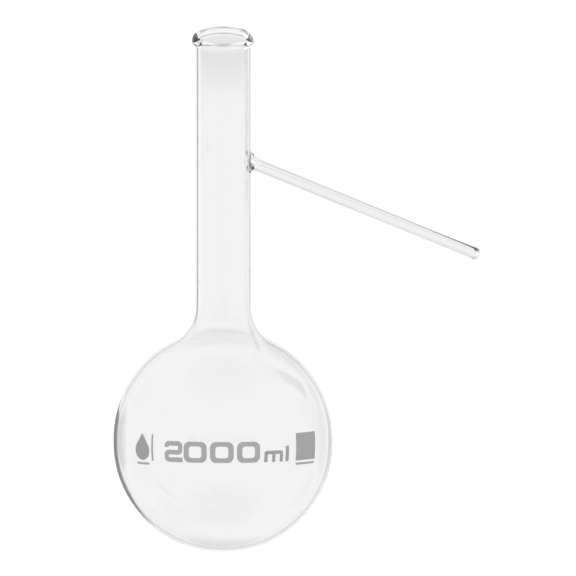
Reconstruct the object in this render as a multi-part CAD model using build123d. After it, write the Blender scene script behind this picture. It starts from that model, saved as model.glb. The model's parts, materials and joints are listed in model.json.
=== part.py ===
from build123d import *
import os
from math import atan2, cos, degrees, radians, sin, sqrt

os.makedirs("parts", exist_ok=True)

# A long-necked round-bottom distilling flask with a side arm, blown and sealed from borosilicate glass.
# Millimetres and degrees. The origin is the lowest point of the bulb. +Z runs up the neck's axis, and
# the side arm leaves the neck towards +X, sloping down.

# Bulb
BULB_RADIUS = 83.0
BULB_STRETCH = 2.8  # how much taller than wide the bulb was blown
BULB_WALL = 2.0
SHOULDER_RADIUS = 38.0  # outside sweep from bulb to neck
COLLAR_TOP = 200.0  # height where the neck tube is sealed on

# Neck
NECK_RADIUS = 21.25
NECK_WALL = 2.3
NECK_TOP = 402.0

# Beaded rim
RIM_TOP = 409.3
BEAD_RADIUS = 23.75  # widest, from the neck's axis
BEAD_CROWN = 3.95  # radius of the bead's upper curve
BEAD_UNDERCUT = 2.3  # radius of the bead's lower curve
LIP_ROUNDING = 0.85  # inside edge of the mouth

# Side arm
ARM_RADIUS = 5.0  # at the seal
ARM_TIP_RADIUS = 4.6  # the tube was drawn a little thinner towards its tip
ARM_STRAIGHT = 32.0  # untapered length behind the tip
ARM_BORE = 3.4
ARM_DROOP = 26.0  # below the horizontal
ARM_ORIGIN = 316.4  # height where the arm's axis crosses the neck's
ARM_REACH = 217.7  # from the neck's axis to the tip, along the arm
ARM_POLISH = 0.45  # rounding of the fire-polished tip

# Seal that joins the side arm to the neck
SEAL_END = 26.9  # from the neck's axis, along the arm
SEAL_END_RADIUS = 5.4
SEAL_FOOT_RADIUS = 8.6
SEAL_ROOT_RADIUS = 9.6  # hidden inside the neck's wall before the cut
SEAL_ROOT_DEPTH = 2.5
SEAL_FOOT_HEIGHT = 306.8

# Fired-on marks
ENAMEL = 0.1  # thickness
PRINT_TURN = -10.4  # middle of the marks, turned from -Y towards -X
PRINT_TILT = 14.3  # how far above the bulb's widest circle the marks' line stands at its middle
BASELINE = -11.0  # foot of the marks, from their line
CUTTER_REACH = 3.0  # depth of the prisms that cut the marks from the enamel film
DIGIT_HEIGHT = 16.0
DIGIT_STROKE = 3.6
ZERO_WIDTH = 18.0
ZERO_SIDE = 4.1  # stroke down the nought's sides
ZERO_CORNER = 4.6  # radius of the nought's outside corners
ZERO_HOLE_CORNER = 2.4
TWO_WIDTH = 15.0
TWO_HOOK = 3.0  # how far the two's stroke hangs down at its start
TWO_WAIST = -0.5  # height of the two's middle stroke
TWO_CORNER = 1.9  # radius of the two's corners, along the middle of the stroke
ZERO_POSITIONS = (-21.4, -0.9, 19.6)
TWO_POSITION = -39.0
M_WIDTH = 15.8
M_HEIGHT = 8.7
M_SHOULDER = 2.0  # radius of the m's top corners
M_POSITION = 40.1
L_WIDTH = 3.0
L_HEIGHT = 11.8
L_POSITION = 52.0
LETTER_STROKE = 2.7
SPOT_WIDTH = 22.0
SPOT_HEIGHT = 20.9
SPOT_POSITION = 71.6
DROP_HEIGHT = 20.0
DROP_RADIUS = 7.6
DROP_TIP = 0.7
DROP_POSITION = -68.8
RULE_WIDTH = 1.7
UNDER_RULE = -13.6  # centre of the rules below the marks
SPOT_RULE = 21.0  # length of the rule under the spot
DROP_RULE = 13.2  # length of the rule under the drop
SIDE_RULE_GAP = 3.0  # from the drop to the rule beside it

# Worked out from the driving dimensions
LOWER_CENTRE = BULB_RADIUS
UPPER_CENTRE = BULB_RADIUS + BULB_STRETCH
NECK_BORE = NECK_RADIUS - NECK_WALL
UPRIGHT = (Align.CENTER, Align.CENTER, Align.MIN)


def bulb_form(radius, neck_radius, sweep):
    """A filled bulb with its collar: two half balls, a short belt between them and a swept shoulder."""
    sweep_x = neck_radius + sweep
    lift = sqrt((radius + sweep) ** 2 - sweep_x**2)
    join_angle = degrees(atan2(lift, sweep_x))
    sweep_z = UPPER_CENTRE + lift
    with BuildPart() as form:
        with BuildSketch(Plane.XZ):
            with BuildLine():
                CenterArc((0, LOWER_CENTRE), radius, -90, 90)
                Line((radius, LOWER_CENTRE), (radius, UPPER_CENTRE))
                CenterArc((0, UPPER_CENTRE), radius, 0, join_angle)
                CenterArc((sweep_x, sweep_z), sweep, 180, join_angle)
                Polyline(
                    (neck_radius, sweep_z),
                    (neck_radius, COLLAR_TOP),
                    (0, COLLAR_TOP),
                    (0, LOWER_CENTRE - radius),
                )
            make_face()
        revolve(axis=Axis.Z)
    return form.part


def outer_form(growth=0.0):
    """The bulb's outside, grown by a film's thickness where one is given."""
    return bulb_form(BULB_RADIUS + growth, NECK_RADIUS + growth, SHOULDER_RADIUS - growth)


def bulb():
    """Thin blown bulb, shoulder and collar, open at the top."""
    cavity = bulb_form(BULB_RADIUS - BULB_WALL, NECK_BORE, SHOULDER_RADIUS + BULB_WALL)
    return outer_form() - cavity


def arm_frame(distance):
    """Plane square to the side arm, at a distance from the neck's axis along the arm."""
    reach = distance * cos(radians(ARM_DROOP))
    drop = distance * sin(radians(ARM_DROOP))
    along = (cos(radians(ARM_DROOP)), 0, -sin(radians(ARM_DROOP)))
    return Plane(origin=(reach, 0, ARM_ORIGIN - drop), x_dir=(0, 1, 0), z_dir=along)


def arm_bore():
    """The passage from the inside of the neck out through the seal and the side arm."""
    return extrude(arm_frame(0) * Circle(ARM_BORE), amount=ARM_REACH + 1)


def neck_tube(radius, bottom, top):
    """A filled cylinder on the neck's axis."""
    return Pos(0, 0, bottom) * Cylinder(radius, top - bottom, align=UPRIGHT)


def neck():
    """Straight neck tube with the side arm's hole."""
    wall = neck_tube(NECK_RADIUS, COLLAR_TOP, NECK_TOP) - neck_tube(NECK_BORE, COLLAR_TOP, NECK_TOP)
    return wall - arm_bore()


def rim_bead():
    """Thickened, rounded rim: a broad crown outside, a tighter curve beneath and a soft inner lip."""
    crown_x = BEAD_RADIUS - BEAD_CROWN
    crown_z = RIM_TOP - BEAD_CROWN
    under_x = BEAD_RADIUS - BEAD_UNDERCUT
    under_angle = degrees(atan2(sqrt(BEAD_UNDERCUT**2 - (NECK_RADIUS - under_x) ** 2), NECK_RADIUS - under_x))
    with BuildPart() as bead:
        with BuildSketch(Plane.XZ):
            with BuildLine():
                CenterArc((NECK_BORE + LIP_ROUNDING, RIM_TOP - LIP_ROUNDING), LIP_ROUNDING, 90, 90)
                CenterArc((crown_x, crown_z), BEAD_CROWN, 0, 90)
                under = CenterArc((under_x, crown_z), BEAD_UNDERCUT, -under_angle, under_angle)
                Polyline(
                    under @ 0,
                    (NECK_RADIUS, NECK_TOP),
                    (NECK_BORE, NECK_TOP),
                    (NECK_BORE, RIM_TOP - LIP_ROUNDING),
                )
            make_face()
        revolve(axis=Axis.Z)
    return bead.part


def side_arm_seal():
    """Conical boss drawn out of the neck's wall, which the side arm is sealed to."""
    foot = Plane(origin=(NECK_RADIUS, 0, SEAL_FOOT_HEIGHT), x_dir=(0, 1, 0), z_dir=(1, 0, 0))
    root = foot.offset(-SEAL_ROOT_DEPTH)
    sections = [
        root * Circle(SEAL_ROOT_RADIUS),
        foot * Circle(SEAL_FOOT_RADIUS),
        arm_frame(SEAL_END) * Circle(SEAL_END_RADIUS),
    ]
    boss = loft(sections, ruled=True)
    return boss - neck_tube(NECK_RADIUS, COLLAR_TOP, NECK_TOP) - arm_bore()


def side_arm():
    """Delivery tube that tapers slightly to a fire-polished tip."""
    taper = ARM_REACH - SEAL_END - ARM_STRAIGHT
    solid = Cone(ARM_RADIUS, ARM_TIP_RADIUS, taper, align=UPRIGHT)
    solid += Pos(0, 0, taper) * Cylinder(ARM_TIP_RADIUS, ARM_STRAIGHT, align=UPRIGHT)
    tube = arm_frame(SEAL_END) * solid - arm_bore()
    tip_edges = tube.edges().filter_by(GeomType.CIRCLE).sort_by(Axis.X)[-2:]
    return fillet(tip_edges, ARM_POLISH)


def mark_plane(along, above):
    """Plane that touches the bulb at arc lengths along and above the marks' line, square to the glass."""
    turned = Pos(0, 0, UPPER_CENTRE) * Rot(0, 0, PRINT_TURN) * Rot(-PRINT_TILT, 0, 0)
    placed = turned * Rot(0, 0, degrees(along / BULB_RADIUS)) * Rot(-degrees(above / BULB_RADIUS), 0, 0)
    return Plane(placed * Plane.XZ.offset(BULB_RADIUS).location)


def marks(film, items):
    """Cuts flat outlines, each given with its place on the bulb, out of the enamel film."""
    cut = []
    for outline, along, above in items:
        prism = extrude(mark_plane(along, above) * outline, amount=CUTTER_REACH, both=True)
        cut += (film & prism).solids()
    return Compound(cut)


def zero_outline():
    """A squarish nought."""
    outside = RectangleRounded(ZERO_WIDTH, DIGIT_HEIGHT, ZERO_CORNER)
    hole_width = ZERO_WIDTH - 2 * ZERO_SIDE
    hole_height = DIGIT_HEIGHT - 2 * DIGIT_STROKE
    return outside - RectangleRounded(hole_width, hole_height, ZERO_HOLE_CORNER)


def two_outline():
    """A squarish two, drawn as one bent stroke."""
    side = (TWO_WIDTH - DIGIT_STROKE) / 2
    top = (DIGIT_HEIGHT - DIGIT_STROKE) / 2
    with BuildSketch() as two:
        with BuildLine():
            FilletPolyline(
                (-side, top - TWO_HOOK),
                (-side, top),
                (side, top),
                (side, TWO_WAIST),
                (-side, TWO_WAIST),
                (-side, -top),
                (TWO_WIDTH / 2, -top),
                radius=TWO_CORNER,
            )
        trace(line_width=DIGIT_STROKE)
    return two.sketch


def m_outline():
    """A low m: a bar with two slots up from its foot."""
    slot_width = (M_WIDTH - 3 * LETTER_STROKE) / 2
    slot_height = M_HEIGHT - LETTER_STROKE
    slot = Pos(0, -LETTER_STROKE / 2) * Rectangle(slot_width, slot_height)
    offset = (slot_width + LETTER_STROKE) / 2
    block = Rectangle(M_WIDTH, M_HEIGHT)
    block = fillet(block.vertices().sort_by(Axis.Y)[-2:], M_SHOULDER)
    return block - Pos(-offset, 0) * slot - Pos(offset, 0) * slot


def drop_outline():
    """A plain falling drop."""
    with BuildSketch() as drop:
        with Locations((0, DROP_RADIUS - DROP_HEIGHT / 2)):
            Circle(DROP_RADIUS)
        with Locations((0, DROP_HEIGHT / 2 - DROP_TIP)):
            Circle(DROP_TIP)
        make_hull()
    return drop.sketch


def above_baseline(height):
    """Centre of a mark of this height that stands on the baseline."""
    return BASELINE + height / 2


def all_marks():
    """Every fired-on mark, by node name."""
    film = outer_form(ENAMEL) - outer_form()
    digits = [(two_outline(), TWO_POSITION, above_baseline(DIGIT_HEIGHT))]
    digits += [(zero_outline(), place, above_baseline(DIGIT_HEIGHT)) for place in ZERO_POSITIONS]
    letters = [
        (m_outline(), M_POSITION, above_baseline(M_HEIGHT)),
        (Rectangle(L_WIDTH, L_HEIGHT), L_POSITION, above_baseline(L_HEIGHT)),
    ]
    spot = [(Rectangle(SPOT_WIDTH, SPOT_HEIGHT), SPOT_POSITION, above_baseline(SPOT_HEIGHT))]
    drop = [(drop_outline(), DROP_POSITION, above_baseline(DROP_HEIGHT))]
    side_rule = DROP_POSITION + DROP_RADIUS + SIDE_RULE_GAP
    rules = [
        (Rectangle(SPOT_RULE, RULE_WIDTH), SPOT_POSITION, UNDER_RULE),
        (Rectangle(DROP_RULE, RULE_WIDTH), DROP_POSITION, UNDER_RULE),
        (Rectangle(RULE_WIDTH, DROP_HEIGHT), side_rule, above_baseline(DROP_HEIGHT)),
    ]
    return {
        "capacity_digits": marks(film, digits),
        "unit_letters": marks(film, letters),
        "marking_spot": marks(film, spot),
        "emblem_drop": marks(film, drop),
        "marking_rules": marks(film, rules),
    }


def main():
    nodes = {
        "bulb": bulb(),
        "neck": neck(),
        "rim_bead": rim_bead(),
        "side_arm_seal": side_arm_seal(),
        "side_arm": side_arm(),
        **all_marks(),
    }
    for name, shape in nodes.items():
        export_step(shape, f"parts/{name}.step")


main()
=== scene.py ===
import json
from math import asin, atan2, ceil, cos, degrees, pi, radians, sin, sqrt

import bmesh
import bpy
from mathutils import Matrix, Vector

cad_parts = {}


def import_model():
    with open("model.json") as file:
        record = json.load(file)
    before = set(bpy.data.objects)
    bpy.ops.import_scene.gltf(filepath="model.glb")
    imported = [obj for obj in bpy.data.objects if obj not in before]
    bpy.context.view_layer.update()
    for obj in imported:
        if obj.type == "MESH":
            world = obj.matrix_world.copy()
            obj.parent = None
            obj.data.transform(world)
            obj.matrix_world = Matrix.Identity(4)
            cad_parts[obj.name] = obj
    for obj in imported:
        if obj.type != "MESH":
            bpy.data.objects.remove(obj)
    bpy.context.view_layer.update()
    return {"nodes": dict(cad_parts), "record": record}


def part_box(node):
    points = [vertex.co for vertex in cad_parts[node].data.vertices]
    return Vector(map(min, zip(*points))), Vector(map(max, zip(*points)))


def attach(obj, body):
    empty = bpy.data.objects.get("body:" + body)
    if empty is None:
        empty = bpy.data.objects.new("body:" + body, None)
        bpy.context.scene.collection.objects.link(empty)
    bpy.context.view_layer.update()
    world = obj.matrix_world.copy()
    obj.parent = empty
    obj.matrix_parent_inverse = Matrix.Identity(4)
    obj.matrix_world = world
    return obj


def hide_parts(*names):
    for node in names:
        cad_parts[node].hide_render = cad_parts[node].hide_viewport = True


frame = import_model()

# A side-arm distilling flask. Its glass is one fused body, so it is one closed mesh here, and the fired-on
# marks are the CAD nodes themselves. Lengths are in metres and angles in degrees, unless a comment says
# otherwise.
MM = 0.001

# Glass shape: what the boxes of the CAD nodes and the mounts don't say
BULB_STRETCH = 2.8 * MM  # how much taller than wide the bulb was blown
BULB_WALL = 2.0 * MM
SHOULDER_SWEEP = 38.0 * MM  # outside radius of the curve from bulb to neck
SHOULDER_EASE = 12  # rounds of smoothing where the ball runs into the sweep
BEAD_CROWN = 3.95 * MM  # radius of the rim's upper curve
BEAD_UNDERCUT = 2.3 * MM  # radius of the rim's lower curve
BEAD_FILLET = 0.7 * MM  # soft hollow where the bead meets the neck
BEAD_APPROACH = 1.0 * MM  # the neck's last row stands this far below the hollow
LIP_ROUNDING = 0.85 * MM
SEAL_RING = 5.4 * MM  # radius of the weld where the side arm begins
SEAL_SWEEP = 0.2  # how hollow the seal's flank is: 0 is a straight cone
WELD_BEAD = 0.2 * MM  # how far the weld stands out just past its widest ring
WELD_STEP = 0.6 * MM
FUNNEL_FOOT = 5.8 * MM  # radius of the side arm's hole in the neck's inside
FUNNEL_DEPTH = 5.0 * MM  # from the weld back to where the bore opens out
BORE_STOP = 0.5 * MM  # from the weld back to the bore's last ring before it opens out
ARM_STRAIGHT = 32.0 * MM  # untapered length behind the tip
TIP_BORE = 2.8 * MM  # radius of the bore at the tip, where fire polishing has shrunk it
TIP_TAPER = 3.5 * MM
ARM_POLISH = 0.45 * MM

# Mesh fineness
SEGMENTS = 192  # round the neck and the bulb
BULB_STEP = 2.0 * MM
CURVE_STEP = 10.0  # on the small curves of the rim
NECK_ROWS = 10
WINDOW_COLUMNS = 16  # each side of the side arm's middle
WINDOW_ROWS = 32
ROW_SLACK = 0.001 * MM  # how closely a row's height has to match to count as the window's edge
BLEND_RINGS = 4
FLARE_RINGS = 10
ARM_RINGS = 40
TIP_RINGS = 12
TAPER_RINGS = 6

# Glass. Scales are in waves per metre, here and in the enamel.
GLASS_IOR = 1.473
GLASS_TINT = (0.937, 0.938, 0.937)
GLASS_CORD = (0.947, 0.948, 0.947)
CORD_SCALE = 18
CORD_DETAIL = 2
WAVE_SCALE = 22
WAVE_DETAIL = 0
WAVE_STRENGTH = 0.25
WAVE_HEIGHT = 0.5 * MM

# Enamel
MOTTLE_SCALE = 900
MOTTLE_DETAIL = 4
GRAIN_SCALE = 3500
GRAIN_DETAIL = 3
GRAIN_LEVELS = (0.3, 0.7)  # the noise values between which the roughness changes
GRAIN_ROUGHNESS = (0.42, 0.62)
GRAIN_STRENGTH = 0.4
GRAIN_HEIGHT = 0.03 * MM
ENAMELS = {  # darkest and lightest tone of each mark
    "capacity_digits": (0.27, 0.34),
    "unit_letters": (0.23, 0.30),
    "marking_spot": (0.24, 0.31),
    "emblem_drop": (0.22, 0.29),
    "marking_rules": (0.25, 0.33),
}

# Camera
VIEW_TURN = -10.4
VIEW_RISE = 19.5
VIEW_DISTANCE = 5.0
VIEW_WIDTH = 435.2 * MM  # what the picture's width spans at the flask
VIEW_CLIP = 100
AIM_RIGHT = 49.1 * MM  # from the bulb's middle to the middle of the picture
AIM_UP = 115.2 * MM

# Soft areas of the surroundings, placed round the line of sight, which the glass bends and mirrors. Each
# has its bearing from the picture's right, its angle off the line of sight, its radius and softness, and
# how bright it is beside the plain studio's 1.
STUDIO_AREAS = {
    "left_softbox": (180, 22, 7, 4, 1.35),
    "left_wall": (180, 43, 10, 4, 0.38),
    "right_wall": (0, 26, 5, 5, 0.85),
    "ceiling": (65, 42, 15, 7, 0.7),
    "upper_right_lamp_stand": (18, 68, 8, 9, 0.8),
    "lower_right_table_edge": (-31, 60, 6, 8, 0.8),
    "lower_left_table_edge": (-124, 78, 8, 10, 0.7),
    "below": (-90, 44, 10, 8, 0.6),
    "under_the_camera": (-90, 107, 20, 18, 0.45),
}
RING_START = 20  # a dark ring round the bright backdrop gives every edge its outline
RING_END = 34
RING_SOFTNESS = 5
RING_DEPTH = 0.35  # place on a smooth step from light to dark, where the light is 0.72

# Cards near the glass that only the glass shows, in millimetres: how far right they begin and end, their
# lowest and highest point and how far behind the flask they stand. Then their brightness at foot, middle
# and top.
CARDS = {
    "bulb_flag": ((-400, -172), (-330, -14), 500, (0.3, 0.3, 0.3)),
    "neck_flag": ((-365, 365), (-146, -46), 1400, (1.0, 0.82, 1.0)),
    "arm_flag": ((205, 300), (190, 345), 120, (0.05, 0.05, 0.05)),
    "rim_softbox_left": ((-110, -38), (386, 409), 60, (2.0, 2.0, 2.0)),
    "rim_softbox_right": ((25, 110), (386, 450), 60, (3.2, 3.2, 3.2)),
}

# Floor and lamp
FLOOR_HALF = 15.0
FLOOR_TONE = 0.9
LAMP_HEIGHT = 3
LAMP_SIZE = 4
LAMP_POWER = 70  # watts
GLASS_BOUNCES = 32

# The view's directions, worked out from its angles
RIGHT = Vector((cos(radians(VIEW_TURN)), sin(radians(VIEW_TURN)), 0))
AHEAD = Vector((-sin(radians(VIEW_TURN)), cos(radians(VIEW_TURN)), 0))
LOOK = AHEAD * cos(radians(VIEW_RISE)) - Vector((0, 0, sin(radians(VIEW_RISE))))
UP = RIGHT.cross(LOOK)

# Sizes and places from the frame
MOUNTS = {mount["name"]: mount for mount in frame["record"]["mounts"]}
BULB_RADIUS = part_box("bulb")[1].x
NECK_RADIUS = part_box("neck")[1].x
NECK_BORE = MOUNTS["mouth_bore"]["dims"]["r_mm"] * MM
RIM_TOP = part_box("rim_bead")[1].z
RIM_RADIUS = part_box("rim_bead")[1].x
ARM_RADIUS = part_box("side_arm")[1].y
ARM_TIP_RADIUS = MOUNTS["side_arm_outlet"]["dims"]["r_mm"] * MM
ARM_BORE = MOUNTS["side_arm_bore"]["dims"]["r_mm"] * MM
ARM_ALONG = Vector(MOUNTS["side_arm_outlet"]["axis"])
ARM_ACROSS = Vector((0, 1, 0))
ARM_UPWARD = ARM_ALONG.cross(ARM_ACROSS)
OUTLET = Vector(MOUNTS["side_arm_outlet"]["pos_m"])
ARM_START = OUTLET - ARM_ALONG * (OUTLET.x / ARM_ALONG.x)  # where the arm's axis crosses the neck's
ARM_DROOP = asin(-ARM_ALONG.z)  # in radians
SEAL_LOW, SEAL_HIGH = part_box("side_arm_seal")
SEAL_FOOT = (SEAL_HIGH.z - SEAL_LOW.z) / 2
SEAL_FOOT_HEIGHT = (SEAL_HIGH.z + SEAL_LOW.z) / 2
SEAL_END = (SEAL_HIGH.x - SEAL_RING * sin(ARM_DROOP)) / cos(ARM_DROOP)
TIP_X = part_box("side_arm")[1].x - ARM_POLISH - (ARM_TIP_RADIUS - ARM_POLISH) * sin(ARM_DROOP)
ARM_REACH = TIP_X / cos(ARM_DROOP) + ARM_POLISH


# ---- profiles ---------------------------------------------------------------------------------------


def arc(centre_r, centre_z, radius, start, end, step):
    """Points on an arc of the profile, its first point left out."""
    count = max(2, ceil(abs(end - start) / step))
    angles = [radians(start + (end - start) * i / count) for i in range(1, count + 1)]
    return [(centre_r + radius * cos(a), centre_z + radius * sin(a)) for a in angles]


def straight(radius, start, end, rows):
    """Points up a straight stretch of the neck, its first point left out."""
    return [(radius, start + (end - start) * i / rows) for i in range(1, rows + 1)]


def eased(points, first, last):
    """The same points with the stretch from first to last smoothed, as softened glass flows."""
    for _ in range(SHOULDER_EASE):
        before, after = points[first - 1 : last - 1], points[first + 1 : last + 1]
        moved = [
            ((p[0] + 2 * q[0] + r[0]) / 4, (p[1] + 2 * q[1] + r[1]) / 4)
            for p, q, r in zip(before, points[first:last], after)
        ]
        points = points[:first] + moved + points[last:]
    return points


def bulb_profile(radius, neck_radius, sweep):
    """From just beside the lowest point up to where the shoulder becomes the neck."""
    step = degrees(BULB_STEP / radius)
    low = BULB_RADIUS
    high = BULB_RADIUS + BULB_STRETCH
    sweep_r = neck_radius + sweep
    lift = sqrt((radius + sweep) ** 2 - sweep_r**2)
    join = degrees(atan2(lift, sweep_r))
    points = arc(0, low, radius, -90, 0, step)
    points += arc(0, high, radius, 0, join, step)
    joined = len(points)
    points += arc(sweep_r, high + lift, sweep, 180 + join, 180, 2 * step)
    return eased(points, joined - 2 * SHOULDER_EASE, len(points) - 1)


def rim_profile():
    """From the outside of the neck over the bead and into the mouth."""
    crown_r = RIM_RADIUS - BEAD_CROWN
    crown_z = RIM_TOP - BEAD_CROWN
    under_r = RIM_RADIUS - BEAD_UNDERCUT
    fillet_r = NECK_RADIUS + BEAD_FILLET
    drop = sqrt((BEAD_UNDERCUT + BEAD_FILLET) ** 2 - (under_r - fillet_r) ** 2)
    meet = degrees(atan2(drop, fillet_r - under_r))
    fillet_z = crown_z - drop
    points = [(NECK_RADIUS, fillet_z)]
    points += arc(fillet_r, fillet_z, BEAD_FILLET, 180, meet, CURVE_STEP)
    points += arc(under_r, crown_z, BEAD_UNDERCUT, -180 + meet, 0, CURVE_STEP)
    points += arc(crown_r, crown_z, BEAD_CROWN, 0, 90, CURVE_STEP)
    points += arc(NECK_BORE + LIP_ROUNDING, RIM_TOP - LIP_ROUNDING, LIP_ROUNDING, 90, 180, CURVE_STEP)
    return points


def outside_profile(window):
    """The flask's outside, from beside its lowest point up over the rim and into the mouth."""
    low, high = window
    rim = rim_profile()
    points = bulb_profile(BULB_RADIUS, NECK_RADIUS, SHOULDER_SWEEP)
    points += straight(NECK_RADIUS, points[-1][1], low, NECK_ROWS)
    points += straight(NECK_RADIUS, low, high, WINDOW_ROWS)
    points += straight(NECK_RADIUS, high, rim[0][1] - BEAD_APPROACH, NECK_ROWS)
    return points + rim


def inside_profile(window):
    """The flask's inside, from beside its lowest point up to the mouth."""
    low, high = window
    points = bulb_profile(BULB_RADIUS - BULB_WALL, NECK_BORE, SHOULDER_SWEEP + BULB_WALL)
    points += straight(NECK_BORE, points[-1][1], low, NECK_ROWS)
    points += straight(NECK_BORE, low, high, WINDOW_ROWS)
    points += straight(NECK_BORE, high, RIM_TOP - 2 * LIP_ROUNDING, NECK_ROWS)
    return points


def tube_profile(turn):
    """Distance and radius along the side arm's outside: the weld, then the tapered tube."""
    start = SEAL_END + 2 * WELD_STEP
    straight_start = ARM_REACH - ARM_STRAIGHT
    points = [(SEAL_END + WELD_STEP, ARM_RADIUS + WELD_BEAD)]
    for i in range(ARM_RINGS + 1):
        distance = start + (turn - start) * i / ARM_RINGS
        share = min((distance - start) / (straight_start - start), 1)
        points.append((distance, ARM_RADIUS + (ARM_TIP_RADIUS - ARM_RADIUS) * share))
    return points


def tip_profile(turn, half_wall):
    """Round the fire-polished end and back to where the bore has its full width."""
    points = []
    for i in range(1, TIP_RINGS + 1):
        a = pi * i / TIP_RINGS
        points.append((turn + half_wall * sin(a), TIP_BORE + half_wall + half_wall * cos(a)))
    for i in range(1, TAPER_RINGS + 1):
        t = i / TAPER_RINGS
        ease = t * t * (3 - 2 * t)
        points.append((turn - TIP_TAPER * t, TIP_BORE + (ARM_BORE - TIP_BORE) * ease))
    return points


def bore_profile(start):
    """Back down the bore, from its narrowed tip to just before it opens out."""
    length = start - (SEAL_END - BORE_STOP)
    return [(start - length * i / ARM_RINGS, ARM_BORE) for i in range(1, ARM_RINGS + 1)]


def arm_profile():
    """Distance and radius along the side arm, out to its tip and back down its bore."""
    half_wall = (ARM_TIP_RADIUS - TIP_BORE) / 2
    turn = ARM_REACH - half_wall
    return tube_profile(turn) + tip_profile(turn, half_wall) + bore_profile(turn - TIP_TAPER)


# ---- glass mesh -------------------------------------------------------------------------------------


class Skin:
    """Points and faces of a mesh that is built ring by ring."""

    def __init__(self):
        self.points = []
        self.faces = []

    def ring(self, points):
        """Adds points and gives back their indices."""
        start = len(self.points)
        self.points += [tuple(p) for p in points]
        return list(range(start, len(self.points)))

    def turned(self, r, z):
        """One row of the flask's grid."""
        angles = [2 * pi * i / SEGMENTS for i in range(SEGMENTS)]
        return self.ring([(r * cos(a), r * sin(a), z) for a in angles])

    def bridge(self, first, second, skip=()):
        """Faces between two rings, apart from the columns to skip."""
        count = len(first)
        for i in range(count):
            j = (i + 1) % count
            if i not in skip:
                self.faces.append((first[i], first[j], second[j], second[i]))

    def onward(self, ring, points):
        """Adds the next ring, bridged to this one."""
        following = self.ring(points)
        self.bridge(ring, following)
        return following

    def pole(self, z, ring):
        """Closes a row with a fan of faces round a point on the neck's axis."""
        tip = self.ring([(0, 0, z)])[0]
        for i, point in enumerate(ring):
            self.faces.append((tip, point, ring[(i + 1) % len(ring)]))


def window_span(radius, middle):
    """Lowest and highest row of the window that the side arm's opening takes in the neck's grid."""
    half = radius * WINDOW_COLUMNS * 2 * pi / SEGMENTS
    return middle - half, middle + half


def skin_wall(skin, profile, window):
    """Turns a profile round the neck's axis, leaves the window open and gives back the window's edge."""
    low, high = window
    skipped = set(range(WINDOW_COLUMNS)) | set(range(SEGMENTS - WINDOW_COLUMNS, SEGMENTS))
    rows = [skin.turned(r, z) for r, z in profile]
    for below, above, (_, z0), (_, z1) in zip(rows, rows[1:], profile, profile[1:]):
        inside = z0 > low - ROW_SLACK and z1 < high + ROW_SLACK
        skin.bridge(below, above, skipped if inside else ())
    opening = [row for row, (_, z) in zip(rows, profile) if low - ROW_SLACK < z < high + ROW_SLACK]
    columns = range(-WINDOW_COLUMNS, WINDOW_COLUMNS)
    edge = [opening[0][i] for i in columns]
    edge += [row[WINDOW_COLUMNS] for row in opening[:-1]]
    edge += [opening[-1][-i] for i in columns]
    edge += [row[-WINDOW_COLUMNS] for row in reversed(opening[1:])]
    return rows, edge


def on_wall(radius, across, height):
    """A point on the neck's wall, from its arc length across and its height."""
    return Vector((radius * cos(across / radius), radius * sin(across / radius), height))


def arm_point(distance, radius, angle):
    """A point at a distance along the side arm, at an angle round it."""
    out = ARM_ACROSS * (radius * cos(angle)) + ARM_UPWARD * (radius * sin(angle))
    return ARM_START + ARM_ALONG * distance + out


def wall_below(radius, point):
    """Where the line through a point along the side arm meets the neck's wall."""
    x = sqrt(radius**2 - point.y**2)
    return point - ARM_ALONG * ((point.x - x) / ARM_ALONG.x)


def spread_on_wall(skin, ring, radius, foot, foot_height):
    """Runs rings over the wall from the window's edge to a round foot, and gives its angles as well."""
    edges = [Vector(skin.points[i]) for i in ring]
    across = [radius * atan2(p.y, p.x) for p in edges]
    angles = [atan2(p.z - foot_height, s) for p, s in zip(edges, across)]
    for step in range(1, BLEND_RINGS + 1):
        share = step / BLEND_RINGS
        spots = []
        for p, s, a in zip(edges, across, angles):
            s_now = s + (foot * cos(a) - s) * share
            z_now = p.z + (foot_height + foot * sin(a) - p.z) * share
            spots.append(on_wall(radius, s_now, z_now))
        ring = skin.onward(ring, spots)
    return ring, angles


def curve_point(start, bend, end, t):
    """A point on the curve from start to end that the bend pulls."""
    return start * (1 - t) ** 2 + bend * (2 * t * (1 - t)) + end * t**2


def flare(skin, ring, angles, radius, end, end_radius):
    """Runs rings from a foot on the wall along hollow curves to a ring round the side arm's axis."""
    starts = [Vector(skin.points[i]) for i in ring]
    ends = [arm_point(end, end_radius, a) for a in angles]
    middles = [(p + q) / 2 for p, q in zip(starts, ends)]
    bends = [m + (wall_below(radius, q) - m) * SEAL_SWEEP for m, q in zip(middles, ends)]
    for step in range(1, FLARE_RINGS + 1):
        t = step / FLARE_RINGS
        ring = skin.onward(ring, [curve_point(p, c, q, t) for p, c, q in zip(starts, bends, ends)])
    return ring


def finished_mesh(name, skin):
    """A smooth closed object from the skin, without the window's unused points."""
    mesh = bpy.data.meshes.new(name)
    mesh.from_pydata(skin.points, [], skin.faces)
    work = bmesh.new()
    work.from_mesh(mesh)
    loose = [v for v in work.verts if not v.link_faces]
    bmesh.ops.delete(work, geom=loose, context="VERTS")
    bmesh.ops.recalc_face_normals(work, faces=work.faces)
    for face in work.faces:
        face.smooth = True
    work.to_mesh(mesh)
    work.free()
    body = bpy.data.objects.new(name, mesh)
    bpy.context.scene.collection.objects.link(body)
    return body


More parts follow.
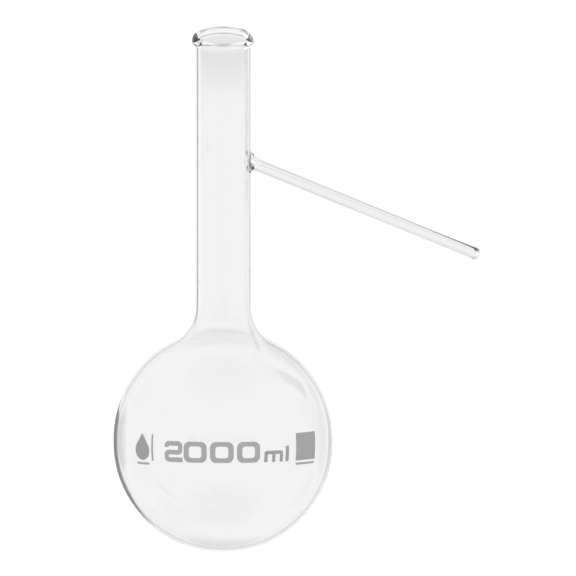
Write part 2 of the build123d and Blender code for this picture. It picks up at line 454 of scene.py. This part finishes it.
def glass_body():
    """The whole flask's glass as one closed mesh."""
    skin = Skin()
    window = window_span(NECK_RADIUS, SEAL_FOOT_HEIGHT)
    rows_out, edge_out = skin_wall(skin, outside_profile(window), window)
    hole_height = ARM_START.z - NECK_BORE * sin(ARM_DROOP) / cos(ARM_DROOP)
    hole_window = window_span(NECK_BORE, hole_height)
    rows_in, edge_in = skin_wall(skin, inside_profile(hole_window), hole_window)
    skin.bridge(rows_out[-1], rows_in[-1])
    skin.pole(0, rows_out[0])
    skin.pole(BULB_WALL, rows_in[0])

    foot, angles = spread_on_wall(skin, edge_out, NECK_RADIUS, SEAL_FOOT, SEAL_FOOT_HEIGHT)
    ring = flare(skin, foot, angles, NECK_RADIUS, SEAL_END, SEAL_RING)
    for distance, radius in arm_profile():
        ring = skin.onward(ring, [arm_point(distance, radius, a) for a in angles])
    hole, hole_angles = spread_on_wall(skin, edge_in, NECK_BORE, FUNNEL_FOOT, hole_height)
    mouth = flare(skin, hole, hole_angles, NECK_BORE, SEAL_END - FUNNEL_DEPTH, ARM_BORE)
    skin.bridge(ring, mouth)
    return finished_mesh("flask_glass", skin)


# ---- materials --------------------------------------------------------------------------------------


def new_material(name):
    """A material with its nodes and links."""
    material = bpy.data.materials.new(name)
    material.use_nodes = True
    return material, material.node_tree.nodes, material.node_tree.links


def noise(nodes, links, scale, detail):
    """Noise over the object's own coordinates."""
    place = nodes.new("ShaderNodeTexCoord")
    pattern = nodes.new("ShaderNodeTexNoise")
    pattern.inputs["Scale"].default_value = scale
    pattern.inputs["Detail"].default_value = detail
    links.new(place.outputs["Object"], pattern.inputs["Vector"])
    return pattern.outputs["Fac"]


def mixed_colour(nodes, links, factor, first, second):
    """A colour that goes from the first to the second as the factor goes from 0 to 1."""
    tone = nodes.new("ShaderNodeMix")
    tone.data_type = "RGBA"
    tone.inputs["A"].default_value = (*first, 1)
    tone.inputs["B"].default_value = (*second, 1)
    links.new(factor, tone.inputs["Factor"])
    return tone.outputs["Result"]


def smooth_step(nodes, links, source, start, end, low, high):
    """A value that goes smoothly from low to high as the source goes from start to end."""
    step = nodes.new("ShaderNodeMapRange")
    step.interpolation_type = "SMOOTHSTEP"
    step.inputs["From Min"].default_value = start
    step.inputs["From Max"].default_value = end
    step.inputs["To Min"].default_value = low
    step.inputs["To Max"].default_value = high
    links.new(source, step.inputs["Value"])
    return step.outputs["Result"]


def product(nodes, links, first, second):
    """Two values multiplied."""
    times = nodes.new("ShaderNodeMath")
    times.operation = "MULTIPLY"
    links.new(first, times.inputs[0])
    links.new(second, times.inputs[1])
    return times.outputs[0]


def bumps(nodes, links, height, strength, distance):
    """A surface normal that the height tilts."""
    bump = nodes.new("ShaderNodeBump")
    bump.inputs["Strength"].default_value = strength
    bump.inputs["Distance"].default_value = distance
    links.new(height, bump.inputs["Height"])
    return bump.outputs["Normal"]


def glass_material():
    """Clear borosilicate glass, with faint cords in its tint and the slow waves of a blown surface."""
    material, nodes, links = new_material("clear_borosilicate")
    shader = nodes["Principled BSDF"]
    shader.inputs["Transmission Weight"].default_value = 1
    shader.inputs["Roughness"].default_value = 0
    shader.inputs["IOR"].default_value = GLASS_IOR
    cords = noise(nodes, links, CORD_SCALE, CORD_DETAIL)
    links.new(mixed_colour(nodes, links, cords, GLASS_TINT, GLASS_CORD), shader.inputs["Base Color"])
    waves = noise(nodes, links, WAVE_SCALE, WAVE_DETAIL)
    links.new(bumps(nodes, links, waves, WAVE_STRENGTH, WAVE_HEIGHT), shader.inputs["Normal"])
    return material


def enamel_material(name, dark, light):
    """Matt fired-on enamel: a mottled tone, a sugary surface and a sheen that varies with it."""
    material, nodes, links = new_material(name)
    shader = nodes["Principled BSDF"]
    mottle = noise(nodes, links, MOTTLE_SCALE, MOTTLE_DETAIL)
    tone = mixed_colour(nodes, links, mottle, (dark, dark, dark), (light, light, light))
    links.new(tone, shader.inputs["Base Color"])
    grain = noise(nodes, links, GRAIN_SCALE, GRAIN_DETAIL)
    roughness = smooth_step(nodes, links, grain, *GRAIN_LEVELS, *GRAIN_ROUGHNESS)
    links.new(roughness, shader.inputs["Roughness"])
    links.new(bumps(nodes, links, grain, GRAIN_STRENGTH, GRAIN_HEIGHT), shader.inputs["Normal"])
    return material


# ---- stage ------------------------------------------------------------------------------------------


def panel(name, corners):
    """A flat stage object with four corners."""
    mesh = bpy.data.meshes.new(name)
    mesh.from_pydata(corners, [], [(0, 1, 2, 3)])
    sheet = bpy.data.objects.new(name, mesh)
    bpy.context.scene.collection.objects.link(sheet)
    return sheet


def floor():
    """A matt pale floor, which the glass neither mirrors nor bends."""
    size = FLOOR_HALF
    plane = panel("floor", [(-size, -size, 0), (size, -size, 0), (size, size, 0), (-size, size, 0)])
    material, nodes, _ = new_material("pale_floor")
    shader = nodes["Principled BSDF"]
    shader.inputs["Base Color"].default_value = (FLOOR_TONE, FLOOR_TONE, FLOOR_TONE, 1)
    shader.inputs["Roughness"].default_value = 1
    shader.inputs["Specular IOR Level"].default_value = 0
    plane.data.materials.append(material)
    plane.visible_transmission = False
    plane.visible_glossy = False


def overhead_lamp():
    """A large soft lamp overhead that the glass doesn't show."""
    data = bpy.data.lights.new("overhead", "AREA")
    data.size = LAMP_SIZE
    data.energy = LAMP_POWER
    lamp = bpy.data.objects.new("overhead", data)
    lamp.location = (0, 0, LAMP_HEIGHT)
    lamp.visible_glossy = False
    lamp.visible_transmission = False
    bpy.context.scene.collection.objects.link(lamp)


def card_glow(nodes, links, low, high, glow):
    """Brightness that goes smoothly up a card, from its foot through its middle to its top."""
    foot, middle, top = glow
    waist = (low + high) / 2
    place = nodes.new("ShaderNodeTexCoord")
    split = nodes.new("ShaderNodeSeparateXYZ")
    links.new(place.outputs["Object"], split.inputs[0])
    height = split.outputs["Z"]
    lower = smooth_step(nodes, links, height, low * MM, waist * MM, foot, middle)
    upper = smooth_step(nodes, links, height, waist * MM, high * MM, 1, top / middle)
    return product(nodes, links, lower, upper)


def card(name, sides, heights, behind, glow):
    """An upright glowing card that only the glass shows, square to the view's heading."""
    near, far = sides
    low, high = heights
    corners = [(near, low), (far, low), (far, high), (near, high)]
    points = [(RIGHT * across + AHEAD * behind + Vector((0, 0, z))) * MM for across, z in corners]
    sheet = panel(name, points)
    material, nodes, links = new_material(name)
    emission = nodes.new("ShaderNodeEmission")
    links.new(card_glow(nodes, links, low, high, glow), emission.inputs["Strength"])
    links.new(emission.outputs[0], nodes["Material Output"].inputs["Surface"])
    sheet.data.materials.append(material)
    sheet.visible_camera = False
    sheet.visible_diffuse = False
    sheet.visible_shadow = False


def facing(nodes, links, place, direction):
    """The cosine of the angle between the surroundings' direction and this one."""
    dot = nodes.new("ShaderNodeVectorMath")
    dot.operation = "DOT_PRODUCT"
    dot.inputs[1].default_value = direction
    links.new(place.outputs["Generated"], dot.inputs[0])
    return dot.outputs["Value"]


def ring_light(nodes, links, place):
    """Light that is 1 but for a soft dark ring round the line of sight."""
    ahead = facing(nodes, links, place, LOOK)
    start = cos(radians(RING_START))
    start_end = cos(radians(RING_START + RING_SOFTNESS))
    end_start = cos(radians(RING_END - RING_SOFTNESS))
    end = cos(radians(RING_END))
    inner = smooth_step(nodes, links, ahead, start_end, start, RING_DEPTH, 0)
    outer = smooth_step(nodes, links, ahead, end_start, end, 1, 0)
    depth = product(nodes, links, inner, outer)
    return smooth_step(nodes, links, depth, 0, 1, 1, 0)


def area_light(nodes, links, place, bearing, off, radius, softness, brightness):
    """Light that is 1 but for one soft area of the surroundings."""
    side = RIGHT * cos(radians(bearing)) + UP * sin(radians(bearing))
    direction = LOOK * cos(radians(off)) + side * sin(radians(off))
    near = facing(nodes, links, place, direction)
    edge = cos(radians(radius + softness))
    heart = cos(radians(max(radius - softness, 0)))
    return smooth_step(nodes, links, near, edge, heart, 1, brightness)


def world():
    """A white studio with a dark ring and soft darker and brighter areas round the line of sight."""
    studio = bpy.data.worlds.new("studio")
    bpy.context.scene.world = studio
    studio.use_nodes = True
    nodes = studio.node_tree.nodes
    links = studio.node_tree.links
    place = nodes.new("ShaderNodeTexCoord")
    light = ring_light(nodes, links, place)
    for area in STUDIO_AREAS.values():
        light = product(nodes, links, light, area_light(nodes, links, place, *area))
    links.new(light, nodes["Background"].inputs["Strength"])
    nodes["Background"].inputs["Color"].default_value = (1, 1, 1, 1)


def camera():
    """Looks down at the flask with parallel lines of sight, as a long lens does from far away."""
    bulb_middle = Vector((0, 0, BULB_RADIUS + BULB_STRETCH / 2))
    aim = bulb_middle + RIGHT * AIM_RIGHT + UP * AIM_UP
    data = bpy.data.cameras.new("camera")
    data.type = "ORTHO"
    data.ortho_scale = VIEW_WIDTH
    data.clip_end = VIEW_CLIP
    view = bpy.data.objects.new("camera", data)
    view.location = aim - LOOK * VIEW_DISTANCE
    view.rotation_euler = LOOK.to_track_quat("-Z", "Y").to_euler()
    bpy.context.scene.collection.objects.link(view)
    bpy.context.scene.camera = view


# ---- scene ------------------------------------------------------------------------------------------

camera()
glass = glass_body()
glass.data.materials.append(glass_material())
glass.visible_shadow = False  # clear glass leaves the floor as bright as it is round about
glass.visible_diffuse = False
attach(glass, "root")
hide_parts("bulb", "neck", "rim_bead", "side_arm_seal", "side_arm")

for name, (dark, light) in ENAMELS.items():
    slots = frame["nodes"][name].data.materials
    slots.clear()
    slots.append(enamel_material(name + "_enamel", dark, light))

floor()
world()
overhead_lamp()
for name, (sides, heights, behind, glow) in CARDS.items():
    card(name, sides, heights, behind, glow)
bpy.context.scene.cycles.max_bounces = GLASS_BOUNCES
bpy.context.scene.cycles.transmission_bounces = GLASS_BOUNCES
bpy.context.scene.view_settings.view_transform = "Standard"
